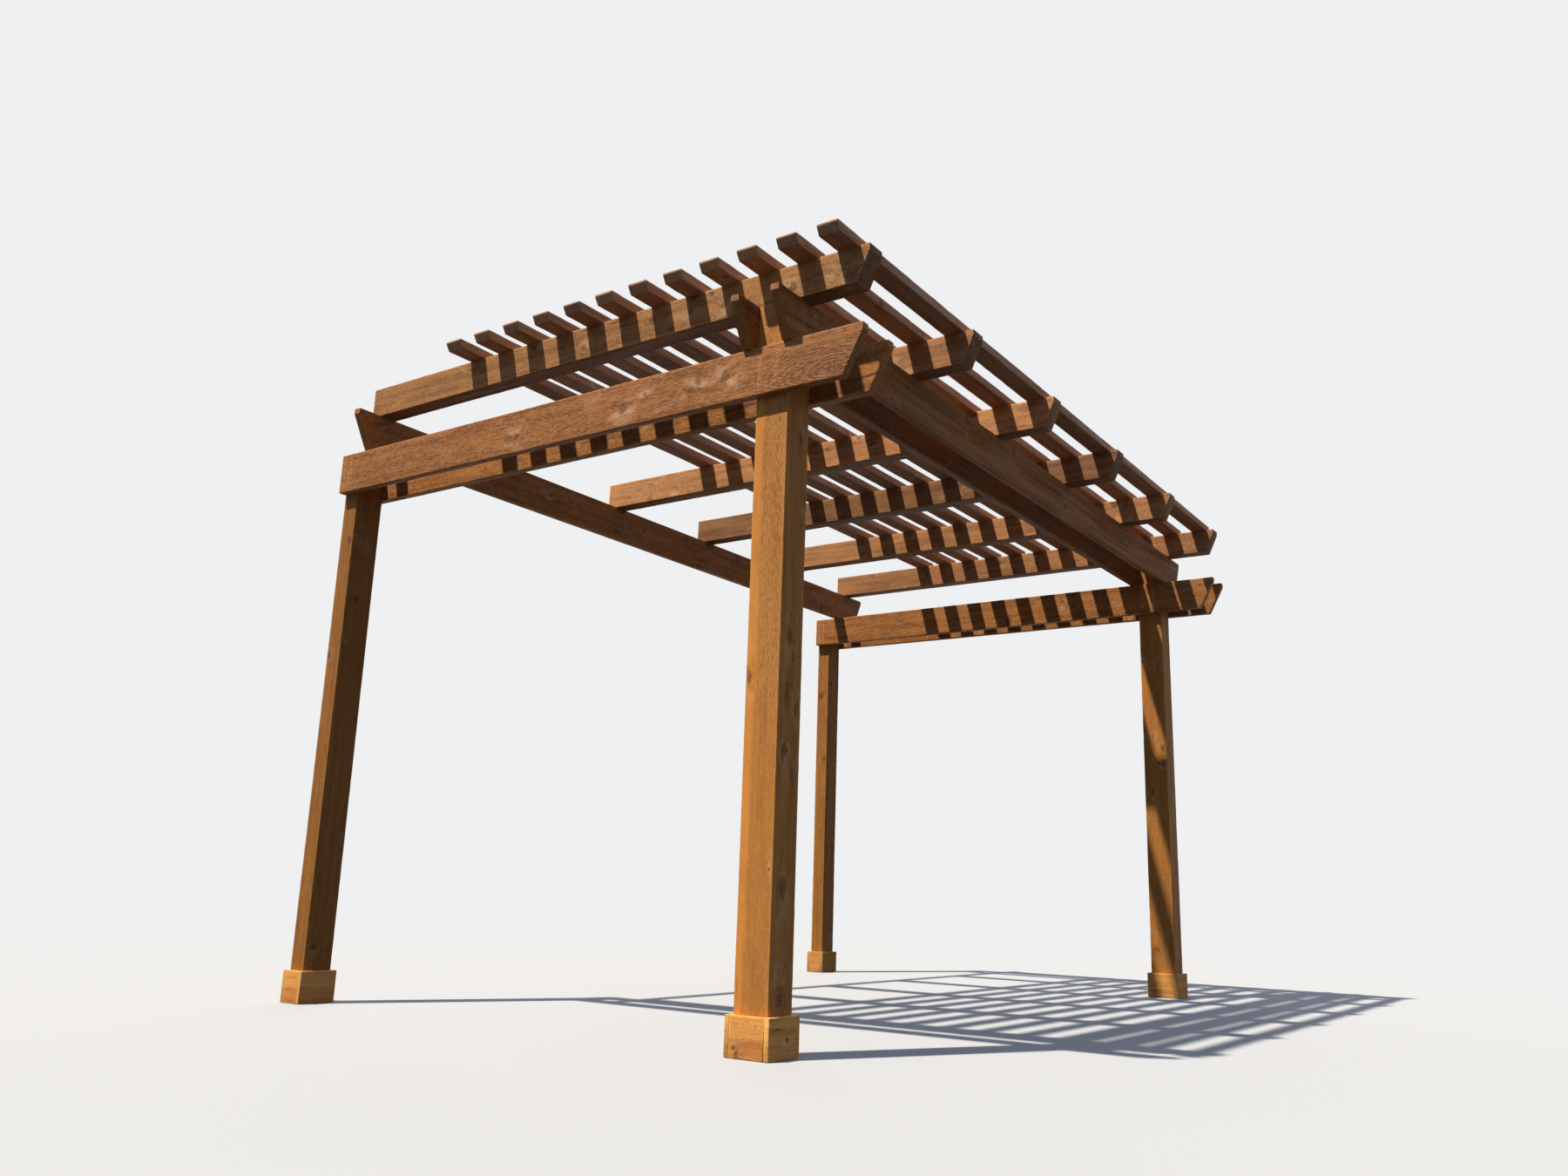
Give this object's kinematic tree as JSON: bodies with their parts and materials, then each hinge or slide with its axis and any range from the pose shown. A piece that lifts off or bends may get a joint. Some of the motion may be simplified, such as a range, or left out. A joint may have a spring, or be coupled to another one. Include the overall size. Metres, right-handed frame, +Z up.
{
  "type": "wooden pergola",
  "caption": "Wooden pergola: posts with foot trim carry lower beams, a front header, rafters and flat shade slats, all with angled tips.",
  "frame": {"origin": "floor level, in the middle of the plan outline", "axes": "+Z up, +X along the headers, +Y from the front row of posts to the rear row"},
  "size_m": [4.511, 2.881, 2.8261],
  "materials": {
    "post_timber": "stained, smooth-sawn",
    "foot_trim": "stained, smooth",
    "beam_timber": "stained, rough-sawn",
    "rafter_timber": "stained, rough-sawn",
    "slat_timber": "stained, rough-sawn"
  },
  "bodies": {
    "root": {"beam_left_inner": "beam_timber", "beam_left_outer": "beam_timber", "beam_right_inner": "beam_timber", "beam_right_outer": "beam_timber", "header_front_inner": "beam_timber", "header_front_outer": "beam_timber", "header_rear": "beam_timber", "post_front_left": "post_timber", "post_front_right": "post_timber", "post_rear_left": "post_timber", "post_rear_right": "post_timber", "rafter_1": "rafter_timber", "rafter_2": "rafter_timber", "rafter_3": "rafter_timber", "rafter_4": "rafter_timber", "rafter_5": "rafter_timber", "rafter_6": "rafter_timber", "slat_1": "slat_timber", "slat_10": "slat_timber", "slat_11": "slat_timber", "slat_12": "slat_timber", "slat_2": "slat_timber", "slat_3": "slat_timber", "slat_4": "slat_timber", "slat_5": "slat_timber", "slat_6": "slat_timber", "slat_7": "slat_timber", "slat_8": "slat_timber", "slat_9": "slat_timber", "trim_faces_front_left": "foot_trim", "trim_faces_front_right": "foot_trim", "trim_faces_rear_left": "foot_trim", "trim_faces_rear_right": "foot_trim", "trim_sides_front_left": "foot_trim", "trim_sides_front_right": "foot_trim", "trim_sides_rear_left": "foot_trim", "trim_sides_rear_right": "foot_trim"}
  },
  "joints": []
}
